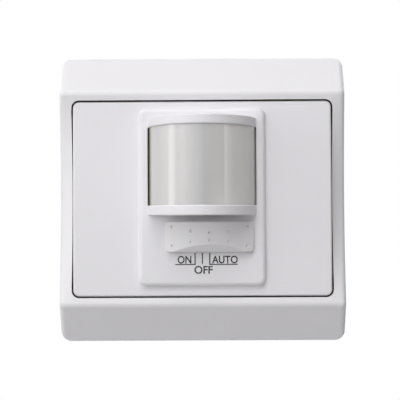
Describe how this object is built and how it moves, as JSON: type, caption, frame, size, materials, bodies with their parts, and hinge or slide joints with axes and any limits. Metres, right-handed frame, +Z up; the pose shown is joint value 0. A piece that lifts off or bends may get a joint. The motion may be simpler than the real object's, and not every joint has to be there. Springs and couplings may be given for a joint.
{
  "type": "motion sensor light switch",
  "caption": "Flush wall switch with passive infrared sensor: square ridged frame, wide centre plate, half-round translucent lens and a sliding mode selector below it.",
  "frame": {"origin": "on the wall plane, at the centre of the outer frame and of the box screw pattern", "axes": "+X to the right and +Z up as seen from the room, +Y into the wall; the front faces -Y"},
  "size_m": [0.08, 0.0488, 0.08],
  "materials": {
    "frame_plastic": "glossy white moulding",
    "plate_plastic": "glossy white moulding",
    "slider_plastic": "semi-gloss white moulding",
    "lens_plastic": "milky translucent polyethylene",
    "black_plastic": "moulded black",
    "grey_plastic": "moulded grey",
    "housing_plastic": "moulded off-white",
    "terminal_plastic": "moulded dark grey",
    "board_laminate": "green lacquered laminate",
    "can_metal": "bright nickel",
    "contact_metal": "tinned",
    "sensor_ceramic": "white ceramic",
    "filter_glass": "dark filter",
    "spring_brass": "stamped brass",
    "trimmer_plastic": "moulded blue",
    "rotor_plastic": "moulded white",
    "zinc_steel": "zinc-plated",
    "relay_plastic": "moulded blue",
    "capacitor_plastic": "moulded yellow",
    "capacitor_sleeve": "shrunk sleeve",
    "varistor_coating": "dipped lacquer",
    "fuse_ceramic": "ceramic tube"
  },
  "bodies": {
    "switch_body": {"outer_frame": "frame_plastic", "centre_plate": "plate_plastic", "fresnel_lens": "lens_plastic", "lens_retainer": "black_plastic", "board_cover": "grey_plastic", "front_carrier": "grey_plastic", "rear_housing": "housing_plastic", "terminal_block": "terminal_plastic", "sensor_board": "board_laminate", "power_board": "board_laminate", "pir_spacer": "housing_plastic", "pir_header": "can_metal", "pir_can": "can_metal", "pir_leads": "contact_metal", "pir_element": "sensor_ceramic", "pir_window": "filter_glass", "light_sensor": "filter_glass", "switch_case": "can_metal", "switch_base": "black_plastic", "switch_pins": "contact_metal", "time_trimmer_base": "trimmer_plastic", "lux_trimmer_base": "trimmer_plastic", "support_ring": "zinc_steel", "housing_screws": "zinc_steel", "link_header": "black_plastic", "link_pins": "contact_metal", "relay": "relay_plastic", "film_capacitor": "capacitor_plastic", "storage_capacitor": "capacitor_sleeve", "varistor": "varistor_coating", "fuse": "fuse_ceramic", "bridge_rectifier": "black_plastic", "terminal_bars": "spring_brass"},
    "slider": {"mode_slider": "slider_plastic"},
    "switch_slide": {"switch_lever": "black_plastic", "switch_wiper": "spring_brass"},
    "time_rotor": {"time_trimmer_rotor": "rotor_plastic"},
    "lux_rotor": {"lux_trimmer_rotor": "rotor_plastic"},
    "claw_screw_left": {"claw_screw_left": "zinc_steel"},
    "claw_left": {"claw_left": "zinc_steel"},
    "claw_screw_right": {"claw_screw_right": "zinc_steel"},
    "claw_right": {"claw_right": "zinc_steel"},
    "terminal_screw_1": {"terminal_screw_1": "zinc_steel"},
    "terminal_cage_1": {"terminal_cage_1": "spring_brass"},
    "terminal_screw_2": {"terminal_screw_2": "zinc_steel"},
    "terminal_cage_2": {"terminal_cage_2": "spring_brass"},
    "terminal_screw_3": {"terminal_screw_3": "zinc_steel"},
    "terminal_cage_3": {"terminal_cage_3": "spring_brass"}
  },
  "joints": [
    {"name": "mode_slide", "type": "slide", "parent": "switch_body", "child": "slider", "axis": [1, 0, 0], "range_m": [-0.004, 0]},
    {"name": "switch_lever_slide", "type": "slide", "parent": "switch_body", "child": "switch_slide", "axis": [1, 0, 0], "range_m": [-0.004, 0]},
    {"name": "time_trimmer_turn", "type": "hinge", "parent": "switch_body", "child": "time_rotor", "pos_m": [-0.0145, -0.0064, -0.0155], "axis": [0, -1, 0], "range_deg": [-105, 105]},
    {"name": "lux_trimmer_turn", "type": "hinge", "parent": "switch_body", "child": "lux_rotor", "pos_m": [0.0145, -0.0064, -0.0155], "axis": [0, -1, 0], "range_deg": [-105, 105]},
    {"name": "claw_screw_left_turn", "type": "hinge", "parent": "switch_body", "child": "claw_screw_left", "pos_m": [-0.024, 0, -0.009], "axis": [0, 1, 0], "range_deg": [0, 5760]},
    {"name": "claw_left_draw", "type": "slide", "parent": "switch_body", "child": "claw_left", "axis": [0, -1, 0], "range_m": [0, 0.008]},
    {"name": "claw_screw_right_turn", "type": "hinge", "parent": "switch_body", "child": "claw_screw_right", "pos_m": [0.024, 0, 0.009], "axis": [0, 1, 0], "range_deg": [0, 5760]},
    {"name": "claw_right_draw", "type": "slide", "parent": "switch_body", "child": "claw_right", "axis": [0, -1, 0], "range_m": [0, 0.008]},
    {"name": "terminal_screw_1_turn", "type": "hinge", "parent": "switch_body", "child": "terminal_screw_1", "pos_m": [-0.0075, 0.0234, -0.0155], "axis": [0, -1, 0], "range_deg": [0, 1440]},
    {"name": "terminal_cage_1_lift", "type": "slide", "parent": "switch_body", "child": "terminal_cage_1", "axis": [0, 1, 0], "range_m": [0, 0.002]},
    {"name": "terminal_screw_2_turn", "type": "hinge", "parent": "switch_body", "child": "terminal_screw_2", "pos_m": [0, 0.0234, -0.0155], "axis": [0, -1, 0], "range_deg": [0, 1440]},
    {"name": "terminal_cage_2_lift", "type": "slide", "parent": "switch_body", "child": "terminal_cage_2", "axis": [0, 1, 0], "range_m": [0, 0.002]},
    {"name": "terminal_screw_3_turn", "type": "hinge", "parent": "switch_body", "child": "terminal_screw_3", "pos_m": [0.0075, 0.0234, -0.0155], "axis": [0, -1, 0], "range_deg": [0, 1440]},
    {"name": "terminal_cage_3_lift", "type": "slide", "parent": "switch_body", "child": "terminal_cage_3", "axis": [0, 1, 0], "range_m": [0, 0.002]}
  ],
  "couplings": [
    {"joint": "switch_lever_slide", "follows": "mode_slide", "ratio": 1},
    {"joint": "claw_screw_left_turn", "follows": "claw_left_draw", "rad_per_m": 12566},
    {"joint": "claw_screw_right_turn", "follows": "claw_right_draw", "rad_per_m": 12566},
    {"joint": "terminal_screw_1_turn", "follows": "terminal_cage_1_lift", "rad_per_m": 12566},
    {"joint": "terminal_screw_2_turn", "follows": "terminal_cage_2_lift", "rad_per_m": 12566},
    {"joint": "terminal_screw_3_turn", "follows": "terminal_cage_3_lift", "rad_per_m": 12566}
  ]
}
